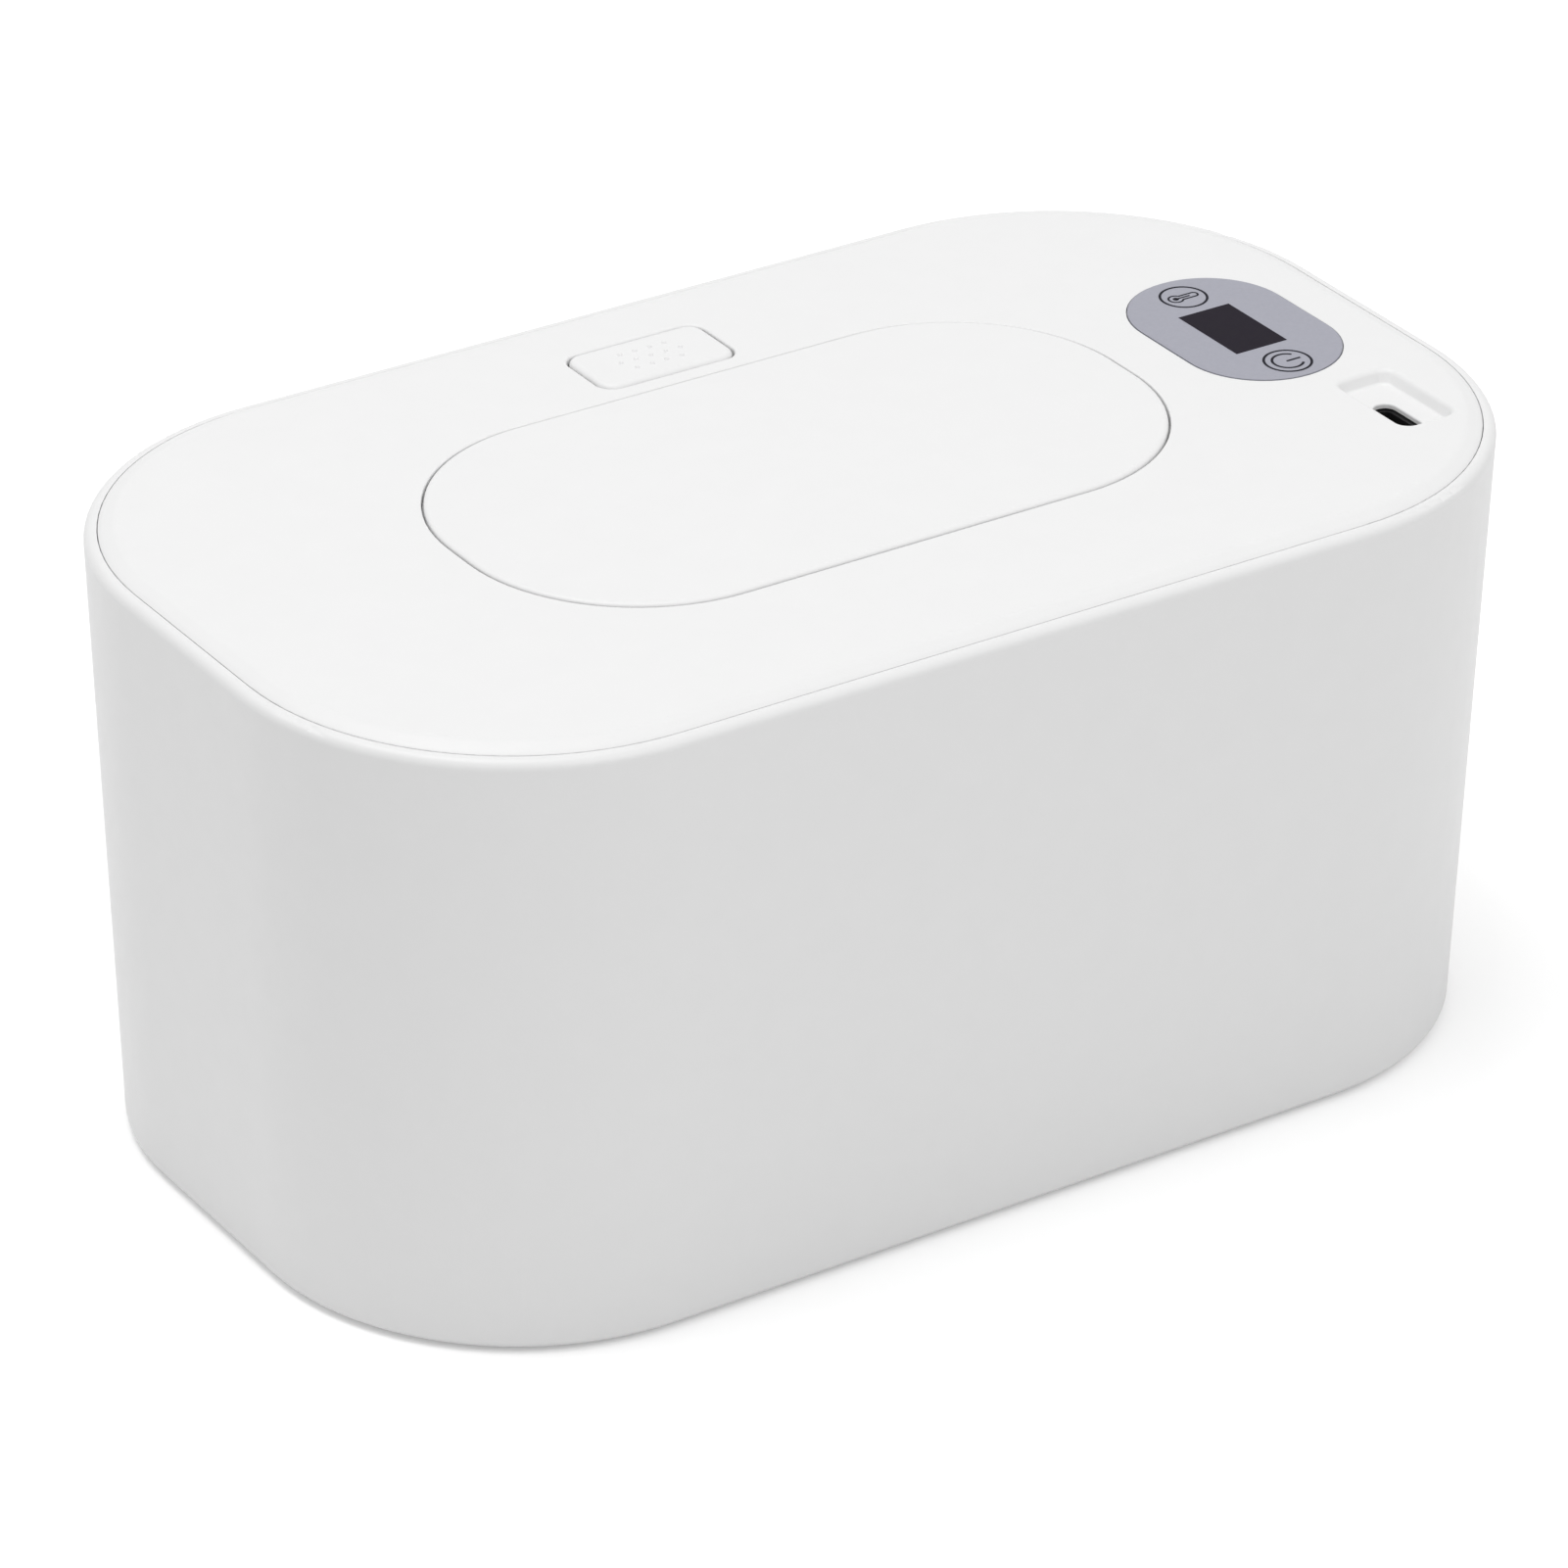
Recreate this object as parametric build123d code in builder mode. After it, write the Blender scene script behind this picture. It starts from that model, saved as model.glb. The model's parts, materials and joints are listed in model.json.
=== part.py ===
from build123d import *
import os
from math import cos, radians, sin, tan

# Baby wipe warmer, millimetres. +X is the long way, towards the control panel, +Y the short way,
# towards the release button, and +Z is up. The origin is under the middle, where the feet stand.

# ---------- Driving dimensions: tub ----------
body_length = 210.0
body_width = 124.6
body_end_flat = 33.2        # straight stretch of the rounded ends
body_draft = 1.7            # degrees, the tub narrows downwards
rim_z = 98.6                # top of the housing's rim
rim_width = 2.0
rim_edge_r = 1.5
housing_wall = 2.2
housing_floor = 2.4
housing_foot_r = 1.2
foot_lift = 0.8             # how far the feet hold the housing off the table
foot_r = 6.5
foot_pocket = 0.8
foot_inset = 30.0           # feet and screw posts, in from the tub's sides
foot_end_inset = 35.0

foam_wall = 2.6
foam_play = 0.3
liner_wall = 1.8
liner_floor = 2.0
liner_floor_z = 14.0        # inside floor of the wipes compartment
liner_floor_r = 9.0
liner_post_r = 3.5
flange_thickness = 2.0
flange_play = 0.4
seat_rib = 2.0              # rib in the housing that carries the liner's flange
post_inset = 40.0
post_end_inset = 43.0
post_foot_height = 3.0
post_foot_wall = 1.6
post_root = 0.5
base_inset = 6.0
base_post_play = 0.6
foot_play = 0.1
foot_bevel = 0.4

# ---------- Driving dimensions: lid ----------
lid_proud = 1.1             # the lid's top stands this far above the rim
lid_gap = 0.3               # seam between rim and lid
lid_skin = 2.2
lid_edge_height = 4.1
lid_crown_drop = 0.5
lid_crown_run = 2.4
lid_crown_r = 5.0
lid_edge_r = 0.8
skirt_inset = 0.7           # skirt outside, measured in from the lid's edge
skirt_wall = 2.0
skirt_depth = 13.7          # skirt's lower edge, below the lid's top
cover_thickness = 2.0
cover_play = 0.3
gasket_width = 2.6
gasket_height = 1.9
gasket_groove = 0.5
gasket_edge = 0.8
groove_play = 0.1
seat_gap = 0.3              # between parts that rest on each other but come apart

# ---------- Driving dimensions: dispensing door ----------
opening_end_strip = 46.3    # lid between the opening and the tub's ends
opening_side_strip = 30.75
opening_end_flat = 5.9
opening_rim_r = 0.25
door_gap = 0.55
door_skin = 1.2
door_proud = 0.3            # the door's top stands this far above the lid
door_edge_r = 0.6
liner_inset = 3.6           # door liner, in from the door's edge
door_liner_thickness = 1.6
ledge_drop = 1.7            # ledge that runs under the door's edge
ledge_width = 3.0
ledge_thickness = 1.7
tray_drop = 8.0             # inside floor of the tray under the door
tray_wall = 1.6
throat_end_inset = 12.7     # hole that the wipes come out of, in from the door opening
throat_side_inset = 13.55
throat_wall = 1.6
throat_lip_drop = 5.2
seal_width = 2.2
seal_gap = 0.3
seal_play = 0.1
seal_rib = 1.2
seal_rib_depth = 1.7

# ---------- Driving dimensions: hinge ----------
hinge_out = 5.2             # hinge axis, outside the door's near edge
hinge_drop = 3.2            # hinge axis, below the lid's top
pin_r = 1.0
pin_play = 0.05             # running clearance in the arms
lug_play = 0.02
barrel_r = 1.8
arm_inner_r = 6.0
arm_thickness = 1.8
arm_width = 4.6
arm_x = 22.5
arm_foot_angle = -105.0
lug_x = 27.5
lug_width = 2.6
lug_half = 2.2
spring_lug_x = (-18.5, -7.0)
well_skin = 1.2             # lid skin above the hinge
well_half = 35.0
well_wall_drop = 3.3        # top of the wall between well and tray
arm_strut = 2.0
well_play = 0.6
well_near_play = 3.9
pin_end_wall = 1.0
spring_lug_reach = 0.5
spring_lug_play = 0.4
arm_strut_trim = 0.4
arm_root = 1.0
well_depth = 12.0
coil_wire_r = 0.3
coil_mean_r = 1.4
coil_turns = 5.0
spring_side_play = 1.6
spring_door_leg = 7.6
spring_lid_leg = 4.4

# ---------- Driving dimensions: release button and latch ----------
pocket_length = 24.4
pocket_width = 13.4
pocket_corner_r = 3.0
pocket_rim_r = 0.4
pocket_web = 3.05           # lid between the door opening and the button's pocket
button_gap = 0.4
button_proud = 0.25
button_skin = 1.5
button_skirt = 3.4
button_skirt_wall = 1.4
button_travel = 1.5
button_edge_r = 0.9
dot_r = 0.45
dot_height = 0.3
dot_taper = 35.0
dot_pitch = 2.65
dot_row = 2.5
pocket_wall_depth = 5.0
pocket_wall = 1.4
slider_half = 8.0
slider_top = 5.2            # depths below the lid's top
slider_bottom = 7.7
slider_play = 0.3
slider_rear = 8.7           # places along Y, from the button's middle
tongue_half = 7.0
tongue_top = 3.3
tongue_thickness = 1.6
tongue_reach = 2.05         # past the edge of the door opening
leg_x = 5.0
leg_width = 3.0
leg_near = 2.1
leg_far = 2.2
leg_bottom = 1.1
ramp_play = 0.15
retainer_thickness = 1.4
retainer_half = 19.0
retainer_end = 15.7
retainer_end_wall = 1.2
retainer_wall_half = 4.0
retainer_corner_r = 3.0
retainer_screw_x = 15.5
retainer_screw_rear = 10.2
guide_wall = 1.4
window_side_play = 0.5
latch_coil_r = 1.25
latch_wire_r = 0.2
latch_turns = 4.0
latch_peg_r = 0.8
catch_half = 5.0
catch_overlap = 0.9
catch_thickness = 1.6
catch_foot = 3.0
catch_foot_thickness = 1.2
catch_play = 0.3
catch_gap = 0.2
nose_land = 0.6
nose_height = 2.0
snap_half = 2.0
snap_reach = 0.7
snap_height = 1.0
snap_root = 1.2
snap_foot = 0.5
button_keel = 3.0
ramp_gap = 0.05
window_end_play = 0.2
tongue_bevel = 0.8
latch_peg = 1.5

# ---------- Driving dimensions: panel, board and socket ----------
panel_end_inset = 24.4      # panel's middle, in from the tub's end
panel_from_recess = 32.1    # panel's middle, in Y from the recess's middle
panel_length = 37.9
panel_width = 25.5
panel_corner_r = 12.6
panel_gap = 0.2
panel_proud = 0.1
panel_thickness = 0.8
display_length = 15.0
display_width = 9.4
display_height = 6.1
display_corner_r = 0.3
display_gap = 0.1
display_play = 0.3
display_bay_r = 0.5
pin_half = 0.25
pin_half_span = 3.8
pin_pitch = 2.54
thermometer_key = 13.15
power_key = 13.55
key_hole_r = 3.5
key_spring_r = 2.5
key_wire_r = 0.3
key_turns = 3.0
board_drop = 9.6
board_thickness = 1.6
board_length = 64.0
board_width = 23.0
board_from_recess = 23.25
board_end_inset = 25.5
board_corner_r = 2.5
chip_length = 6.5
chip_width = 5.0
chip_height = 1.4
chip_inset = 1.5
chip_shift = 7.5            # first chip and the capacitor, in Y from the board's middle
chip_pitch = 9.5
capacitor_r = 3.0
capacitor_height = 6.0
capacitor_inset = 4.5
capacitor_shift = -13.0
recess_inset = 14.64        # and in from the corner's radius
recess_angle = 26.07         # recess's middle, round the centre of the tub's rounded corner
recess_length = 17.9
recess_width = 10.2
recess_corner_r = 2.2
recess_depth = 2.1
recess_draft = 20.0
recess_floor = 1.0
recess_floor_r = 0.5
recess_rim_r = 1.1
recess_wall = 1.2
slot_back = 1.15            # slot's middle, from the recess's middle
slot_side = 2.15
slot_length = 9.6
slot_width = 3.8
slot_rim_r = 0.3
socket_length = 11.0
socket_width = 5.0
socket_corner_r = 2.2
socket_play = 0.1
mouth_length = 8.4
mouth_width = 2.6
mouth_depth = 5.6
tongue_plate = 0.7
tongue_end_play = 0.9
tongue_sink = 0.8

# ---------- Driving dimensions: heater ----------
plate_end_inset = 17.0
plate_side_inset = 18.3
plate_end_flat = 28.0
plate_thickness = 1.2
film_thickness = 0.3
film_inset = 3.0
plate_edge_r = 0.5
plate_throat_play = 1.0
foam_thickness = 1.6
foam_end_inset = 39.0
foam_side_inset = 21.3
foam_end_flat = 22.0
foam_lid_play = 0.4
fuse_end_inset = 29.0
fuse_r = 1.7
fuse_length = 10.0
fuse_reach = 8.0
fuse_end_play = 1.0
fuse_lead_root = 0.5
fuse_lead_bend = 1.0
fuse_lead_r = 0.35
thermistor_inset = 18.0
thermistor_r = 1.5
thermistor_height = 2.4
thermistor_lead_half = 0.7
thermistor_lead_r = 0.3
sensor_gap = 0.05
sensor_play = 0.3
lead_end_inset = 33.0
lead_inset = 7.0
lead_pitch = 2.5
lead_r = 0.5

# ---------- Driving dimensions: fasteners ----------
screw_r = 1.25
screw_hole_r = 1.3          # pilot that the thread bites in, drawn at its outside
clear_hole_r = 1.6
head_r = 2.8
head_height = 1.6
head_play = 0.3
screw_seat = 1.8
screw_tip_play = 0.5
boss_r = 3.2
board_boss_r = 2.6
boss_hole_depth = 9.0
short_hole_depth = 5.0
head_sink = 1.0
cover_head_play = 0.2
locating_rib = 2.5
rib_y = 20.0
rib_width = 1.2
rib_depth = 4.0
rib_inner_inset = 43.0
rib_outer_inset = 6.0
cover_end_inset = 10.0
cover_corner_inset = 53.0
cover_side_inset = 11.3
board_screw_inset = 3.0
stadium_trim = 0.001        # keeps a slot's round ends from meeting
level_match = 0.01          # how closely a level or a length picks out its edges
length_match = 0.1

# ---------- Levels and places that follow ----------
half_length = body_length / 2
half_width = body_width / 2
body_corner_r = half_width - body_end_flat / 2
foot_x = half_length - foot_end_inset
foot_y = half_width - foot_inset
post_x = half_length - post_end_inset
post_y = half_width - post_inset
opening_length = body_length - 2 * opening_end_strip
opening_width = body_width - 2 * opening_side_strip
opening_corner_r = (opening_width - opening_end_flat) / 2
throat_length = opening_length - 2 * throat_end_inset
throat_width = opening_width - 2 * throat_side_inset
throat_corner_r = throat_width / 2
pocket_y = opening_width / 2 + pocket_web + pocket_width / 2
slider_rear_y = pocket_y + slider_rear
leg_near_y = pocket_y - leg_near
leg_far_y = pocket_y + leg_far
leg_bottom_y = pocket_y - leg_bottom
retainer_end_y = pocket_y + retainer_end
panel_x = half_length - panel_end_inset
recess_reach = body_corner_r - recess_inset
recess_x = half_length - body_corner_r + recess_reach * cos(radians(recess_angle))
recess_y = body_corner_r - half_width - recess_reach * sin(radians(recess_angle))
panel_y = recess_y + panel_from_recess
thermometer_key_y = panel_y + thermometer_key
power_key_y = panel_y - power_key
board_y = recess_y + board_from_recess
slot_x = recess_x - slot_back
slot_y = recess_y - slot_side
board_x = half_length - board_end_inset
board_left = board_x - board_width / 2
board_right = board_x + board_width / 2
board_near = board_y - board_length / 2
board_far = board_y + board_length / 2
chip_y = board_y + chip_shift
capacitor_y = board_y + capacitor_shift
thermistor_y = board_near + thermistor_inset
lead_y = board_far - lead_inset
plate_length = body_length - 2 * plate_end_inset
plate_width = body_width - 2 * plate_side_inset
plate_corner_r = (plate_width - plate_end_flat) / 2
foam_length = body_length - 2 * foam_end_inset
foam_width = body_width - 2 * foam_side_inset
foam_corner_r = (foam_width - foam_end_flat) / 2
fuse_x = half_length - fuse_end_inset
thermistor_x = fuse_x
lead_x = half_length - lead_end_inset
rib_inner_x = half_length - rib_inner_inset
rib_outer_x = half_length - rib_outer_inset
cover_end_x = half_length - cover_end_inset
cover_corner_x = half_length - cover_corner_inset
cover_side_y = half_width - cover_side_inset
cover_screw_points = ((-cover_end_x, 0.0), (cover_end_x, 0.0), (-cover_corner_x, -cover_side_y),
                      (-cover_corner_x, cover_side_y), (cover_corner_x, -cover_side_y),
                      (cover_corner_x, cover_side_y))
retainer_screw_y = pocket_y + retainer_screw_rear
retainer_screw_points = ((-retainer_screw_x, retainer_screw_y), (retainer_screw_x, retainer_screw_y))
board_screw_points = ((board_left + board_screw_inset, board_far - board_screw_inset),
                      (board_right - board_screw_inset, board_far - board_screw_inset),
                      (board_left + board_screw_inset, board_near + board_screw_inset))
housing_z = foot_lift
lid_top = rim_z + lid_proud
lid_edge_inset = rim_width + lid_gap
skirt_z = lid_top - skirt_depth
cover_z = skirt_z - cover_thickness
gasket_z = cover_z + gasket_groove - gasket_height
flange_top = gasket_z - seat_gap
flange_z = flange_top - flange_thickness
seat_rib_z = flange_z - seat_rib
liner_inset_outer = housing_wall + foam_wall + 2 * foam_play
liner_inset_inner = liner_inset_outer + liner_wall
liner_bottom_z = liner_floor_z - liner_floor
housing_floor_z = housing_z + housing_floor
post_foot_z = housing_floor_z + post_foot_height
screw_seat_z = post_foot_z - screw_seat
skin_z = lid_top - lid_skin
recess_floor_z = lid_top - recess_depth - recess_floor   # underside of the recess
well_z = lid_top - well_depth
ledge_z = lid_top - ledge_drop
tray_z = lid_top - tray_drop
lip_z = lid_top - throat_lip_drop
door_under_z = lid_top - door_skin
door_liner_z = door_under_z - door_liner_thickness
door_half = opening_width / 2 - door_gap
hinge_y = -door_half - hinge_out
hinge_z = lid_top - hinge_drop
arm_outer_r = arm_inner_r + arm_thickness
well_near_y = hinge_y - pin_r - well_near_play
well_far_y = hinge_y + arm_outer_r + well_play
board_z = lid_top - board_drop
board_under_z = board_z - board_thickness
socket_top_z = recess_floor_z - socket_play
plate_z = cover_z - film_thickness - plate_thickness
film_z = cover_z - film_thickness
tongue_tip_y = opening_width / 2 - tongue_reach
nose_tip_y = tongue_tip_y + catch_overlap
slider_top_z = lid_top - slider_top
slider_bottom_z = lid_top - slider_bottom
retainer_z = slider_bottom_z - slider_play
well_wall_z = lid_top - well_wall_drop
tray_far_y = opening_width / 2 - ledge_width
pocket_near_y = pocket_y - pocket_width / 2
tongue_top_z = lid_top - tongue_top
tongue_z = tongue_top_z - tongue_thickness
slot_half = slider_half + slider_play
leg_ramp_z = slider_top_z - ramp_gap
ramp_foot_y = leg_far_y - (leg_ramp_z - slider_bottom_z) + ramp_play
window_near_y = leg_near_y - button_travel - window_side_play
latch_spring_z = (slider_top_z + slider_bottom_z) / 2
retainer_wall_y = retainer_end_y - retainer_end_wall
panel_z = lid_top - panel_thickness
display_z = panel_z - display_gap - display_height
fuse_z = cover_z + sensor_gap + fuse_r
gasket_inset = skirt_inset + cover_play + gasket_edge
key_points = ((panel_x, thermometer_key_y), (panel_x, power_key_y))
lead_points = ((lead_x, lead_y), (lead_x + lead_pitch, lead_y))
pin_points = [(panel_x + side * pin_half_span, panel_y + row * pin_pitch)
              for side in (-1, 1) for row in (-2, -1, 0, 1, 2)]


def body_size(inset, z):
    """Length, width and corner radius of the tapered tub at height z, set in by inset."""
    shrink = inset + (rim_z - z) * tan(radians(body_draft))
    return body_length - 2 * shrink, body_width - 2 * shrink, body_corner_r - shrink


def lid_size(inset):
    """Length, width and corner radius of the lid's outline, set in by inset."""
    return body_size(lid_edge_inset + inset, rim_z)


def opening_size(inset):
    """Length, width and corner radius of the door opening's outline, set in by inset."""
    return opening_length - 2 * inset, opening_width - 2 * inset, opening_corner_r - inset


def throat_size(outset):
    """Length, width and corner radius of the dispensing throat, grown by outset."""
    return throat_length + 2 * outset, throat_width + 2 * outset, throat_corner_r + outset - stadium_trim


def rounded_slab(size, bottom, top, mode=Mode.ADD, x=0.0, y=0.0):
    """A flat slab with rounded corners between two heights."""
    with BuildSketch(Plane.XY.offset(bottom)) as outline:
        with Locations((x, y)):
            RectangleRounded(*size)
    extrude(outline.sketch, amount=top - bottom, mode=mode)


def box_slab(low, high, mode=Mode.ADD):
    """A block between two corners."""
    with BuildSketch(Plane.XY.offset(low[2])) as outline:
        with Locations(((low[0] + high[0]) / 2, (low[1] + high[1]) / 2)):
            Rectangle(high[0] - low[0], high[1] - low[1])
    extrude(outline.sketch, amount=high[2] - low[2], mode=mode)


def tapered_slab(inset, top, bottom, mode=Mode.ADD):
    """A block that follows the tub's taper from top down to bottom."""
    with BuildSketch(Plane.XY.offset(top)) as outline:
        RectangleRounded(*body_size(inset, top))
    extrude(outline.sketch, amount=bottom - top, taper=body_draft, mode=mode)


def posts(points, radius, bottom, top, mode=Mode.ADD):
    """Upright cylinders at the given points."""
    with BuildSketch(Plane.XY.offset(bottom)) as outline:
        with Locations(*points):
            Circle(radius)
    extrude(outline.sketch, amount=top - bottom, mode=mode)


def corner_points(x, y):
    return ((-x, -y), (-x, y), (x, -y), (x, y))


def edges_at(piece, z):
    """Edges that lie at this height."""
    return piece.edges().filter_by_position(Axis.Z, z - level_match, z + level_match)


def rim_edges(piece, z, length):
    """Edges round the opening of this length along X in a piece's flat face at this height."""
    faces = piece.faces().filter_by(Plane.XY).filter_by_position(Axis.Z, z - level_match, z + level_match)
    loops = [loop for face in faces for loop in face.inner_wires()
             if abs(loop.bounding_box().size.X - length) < length_match]
    return loops[0].edges()


def save(piece, name):
    piece.part.label = name
    export_step(piece.part, f"parts/{name}.step")


os.makedirs("parts", exist_ok=True)

# ====================================================================================
# Tub
# ====================================================================================

# Cavity of the housing: open above, with a rib under the liner's flange.
with BuildPart() as housing_cavity:
    tapered_slab(rim_width, rim_z, flange_top)
    tapered_slab(housing_wall, flange_top, flange_z)
    tapered_slab(housing_wall + seat_rib, flange_z, seat_rib_z)
    tapered_slab(housing_wall, seat_rib_z, housing_floor_z)

with BuildPart() as outer_housing:
    tapered_slab(0.0, rim_z, housing_z)
    fillet(outer_housing.faces().sort_by(Axis.Z)[-1].edges(), rim_edge_r)
    fillet(outer_housing.faces().sort_by(Axis.Z)[0].edges(), housing_foot_r)
    add(housing_cavity.part, mode=Mode.SUBTRACT)
    posts(corner_points(post_x, post_y), boss_r + post_foot_wall, housing_floor_z, post_foot_z)
    posts(corner_points(post_x, post_y), clear_hole_r, housing_z, post_foot_z, Mode.SUBTRACT)
    posts(corner_points(post_x, post_y), head_r + head_play, housing_z, screw_seat_z, Mode.SUBTRACT)
    posts(corner_points(foot_x, foot_y), foot_r + foot_play, housing_z, housing_z + foot_pocket,
          Mode.SUBTRACT)
save(outer_housing, "outer_housing")

with BuildPart() as liner_cavity:
    tapered_slab(liner_inset_inner, flange_top, liner_floor_z)
    fillet(liner_cavity.faces().sort_by(Axis.Z)[0].edges(), liner_floor_r)

with BuildPart() as inner_liner:
    tapered_slab(liner_inset_outer, flange_top, liner_bottom_z)
    fillet(inner_liner.faces().sort_by(Axis.Z)[0].edges(), liner_floor_r + liner_wall)
    tapered_slab(housing_wall + flange_play, flange_top, flange_z)
    add(liner_cavity.part, mode=Mode.SUBTRACT)
    posts(corner_points(post_x, post_y), liner_post_r, post_foot_z, liner_bottom_z + post_root)
    posts(corner_points(post_x, post_y), screw_hole_r, post_foot_z, liner_bottom_z, Mode.SUBTRACT)
save(inner_liner, "inner_liner")

foam_wrap_z = liner_bottom_z
with BuildPart() as insulation_wrap:
    tapered_slab(housing_wall + foam_play, seat_rib_z - foam_play, foam_wrap_z)
    tapered_slab(liner_inset_outer - foam_play, seat_rib_z - foam_play, foam_wrap_z, Mode.SUBTRACT)
save(insulation_wrap, "insulation_wrap")

with BuildPart() as insulation_base:
    tapered_slab(housing_wall + base_inset, liner_bottom_z - foam_play, housing_floor_z)
    posts(corner_points(post_x, post_y), boss_r + post_foot_wall + base_post_play, housing_floor_z,
          liner_bottom_z, Mode.SUBTRACT)
save(insulation_base, "insulation_base")

with BuildPart() as rubber_feet:
    posts(corner_points(foot_x, foot_y), foot_r, 0.0, housing_z + foot_pocket)
    chamfer(rubber_feet.faces().sort_by(Axis.Z)[:4].edges(), foot_bevel)
save(rubber_feet, "rubber_feet")

with BuildPart() as liner_screws:
    posts(corner_points(post_x, post_y), head_r, screw_seat_z - head_height, screw_seat_z)
    posts(corner_points(post_x, post_y), screw_r, screw_seat_z, liner_bottom_z - screw_tip_play)
save(liner_screws, "liner_screws")

# ====================================================================================
# Lid shell
# ====================================================================================

# Top plate with its soft edge, and the skirt that plugs into the tub.
with BuildPart() as lid_blank:
    rounded_slab(lid_size(0.0), lid_top - lid_edge_height, lid_top)
    crown_face = lid_blank.faces().sort_by(Axis.Z)[-1]
    chamfer(crown_face.edges(), lid_crown_run, lid_crown_drop, reference=crown_face)
    fillet(edges_at(lid_blank, lid_top - lid_crown_drop), lid_edge_r)
    fillet(edges_at(lid_blank, lid_top), lid_crown_r)
    rounded_slab(lid_size(skirt_inset), skirt_z, lid_top - lid_edge_height)
    rounded_slab(lid_size(skirt_inset + skirt_wall), skirt_z, skin_z, Mode.SUBTRACT)

# Socket recess with drafted walls and rounded edges.
with BuildPart() as recess_tool:
    with BuildSketch(Plane.XY.offset(lid_top)) as recess_mouth:
        with Locations((recess_x, recess_y)):
            RectangleRounded(recess_width, recess_length, recess_corner_r)
    extrude(recess_mouth.sketch, amount=-recess_depth, taper=recess_draft)
    fillet(recess_tool.faces().sort_by(Axis.Z)[0].edges(), recess_floor_r)

with BuildPart() as lid_shell:
    add(lid_blank.part)
    # Tray under the door: rim wall, ledge, tray wall and floor.
    rounded_slab(opening_size(-tray_wall), ledge_z - ledge_thickness, skin_z)
    rounded_slab(opening_size(ledge_width - tray_wall), tray_z - tray_wall, ledge_z)
    # Hinge well along the near side, open below until its cover closes it.
    box_slab((-well_half - tray_wall, well_near_y - tray_wall, well_z),
             (well_half + tray_wall, well_far_y + tray_wall, skin_z))
    rounded_slab(opening_size(0.0), ledge_z, lid_top, Mode.SUBTRACT)
    rounded_slab(opening_size(ledge_width), tray_z, lid_top, Mode.SUBTRACT)
    box_slab((-well_half, well_near_y, well_z), (well_half, well_far_y, lid_top - well_skin), Mode.SUBTRACT)
    box_slab((-well_half - tray_wall, well_far_y, tray_z), (well_half + tray_wall, well_far_y + tray_wall,
             well_wall_z))
    # Throat that the wipes come through, with the lip that the door's seal closes on.
    rounded_slab(throat_size(throat_wall), skirt_z, lip_z)
    rounded_slab(throat_size(0.0), skirt_z, lip_z, Mode.SUBTRACT)
    # Lugs that hold the hinge pin, one with a rib that reaches under the door's edge.
    for x in (-lug_x, lug_x) + spring_lug_x:
        box_slab((x - lug_width / 2, hinge_y - lug_half, hinge_z - lug_half),
                 (x + lug_width / 2, hinge_y + lug_half, lid_top - well_skin))
    box_slab((spring_lug_x[0] - lug_width / 2, hinge_y, hinge_z - lug_half),
             (spring_lug_x[0] + lug_width / 2, -door_half + spring_lug_reach, door_under_z - spring_lug_play))
    with BuildSketch(Plane.YZ.offset(-well_half + pin_end_wall)) as pin_bore:
        with Locations((hinge_y, hinge_z)):
            Circle(pin_r + lug_play)
    extrude(pin_bore.sketch, amount=2 * (well_half - pin_end_wall), mode=Mode.SUBTRACT)
    # Pocket for the release button, and the slot that the latch's tongue comes through.
    rounded_slab((pocket_length + 2 * pocket_wall, pocket_width + 2 * pocket_wall,
                  pocket_corner_r + pocket_wall), lid_top - pocket_wall_depth, skin_z, y=pocket_y)
    posts(retainer_screw_points, boss_r, retainer_z, skin_z)
    rounded_slab((pocket_length, pocket_width, pocket_corner_r), lid_top - pocket_wall_depth, lid_top,
                 Mode.SUBTRACT, y=pocket_y)
    box_slab((-slot_half, tray_far_y, tray_z), (slot_half, opening_width / 2, ledge_z), Mode.SUBTRACT)
    box_slab((-slot_half, tray_far_y, tray_z), (slot_half, pocket_near_y, tongue_top_z + slider_play),
             Mode.SUBTRACT)
    # Bed of the control panel, with the display's window and the key springs' holes.
    rounded_slab((panel_width + 2 * panel_gap, panel_length + 2 * panel_gap, panel_corner_r + panel_gap),
                 panel_z, lid_top, Mode.SUBTRACT, panel_x, panel_y)
    rounded_slab((display_width + 2 * display_play, display_length + 2 * display_play, display_bay_r), skin_z,
                 panel_z, Mode.SUBTRACT,
                 panel_x, panel_y)
    posts(key_points, key_hole_r, skin_z, panel_z, Mode.SUBTRACT)
    posts(board_screw_points, board_boss_r, board_z, skin_z)
    # Socket recess and the slot in its floor.
    rounded_slab((recess_width + 2 * recess_wall, recess_length + 2 * recess_wall,
                  recess_corner_r + recess_wall), recess_floor_z, skin_z, x=recess_x, y=recess_y)
    add(recess_tool.part, mode=Mode.SUBTRACT)
    rounded_slab((slot_width, slot_length, slot_width / 2 - stadium_trim), recess_floor_z, lid_top,
                 Mode.SUBTRACT, slot_x, slot_y)
    # Screw bosses and stiffening ribs.
    posts(cover_screw_points, boss_r, skirt_z, skin_z)
    posts(cover_screw_points, screw_hole_r, skirt_z, skirt_z + boss_hole_depth, Mode.SUBTRACT)
    posts(retainer_screw_points, screw_hole_r, retainer_z, retainer_z + short_hole_depth, Mode.SUBTRACT)
    posts(board_screw_points, screw_hole_r, board_z, board_z + short_hole_depth, Mode.SUBTRACT)
    for y in (-rib_y, rib_y):
        box_slab((-rib_outer_x, y - rib_width / 2, skin_z - rib_depth),
                 (-rib_inner_x, y + rib_width / 2, skin_z))
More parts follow.
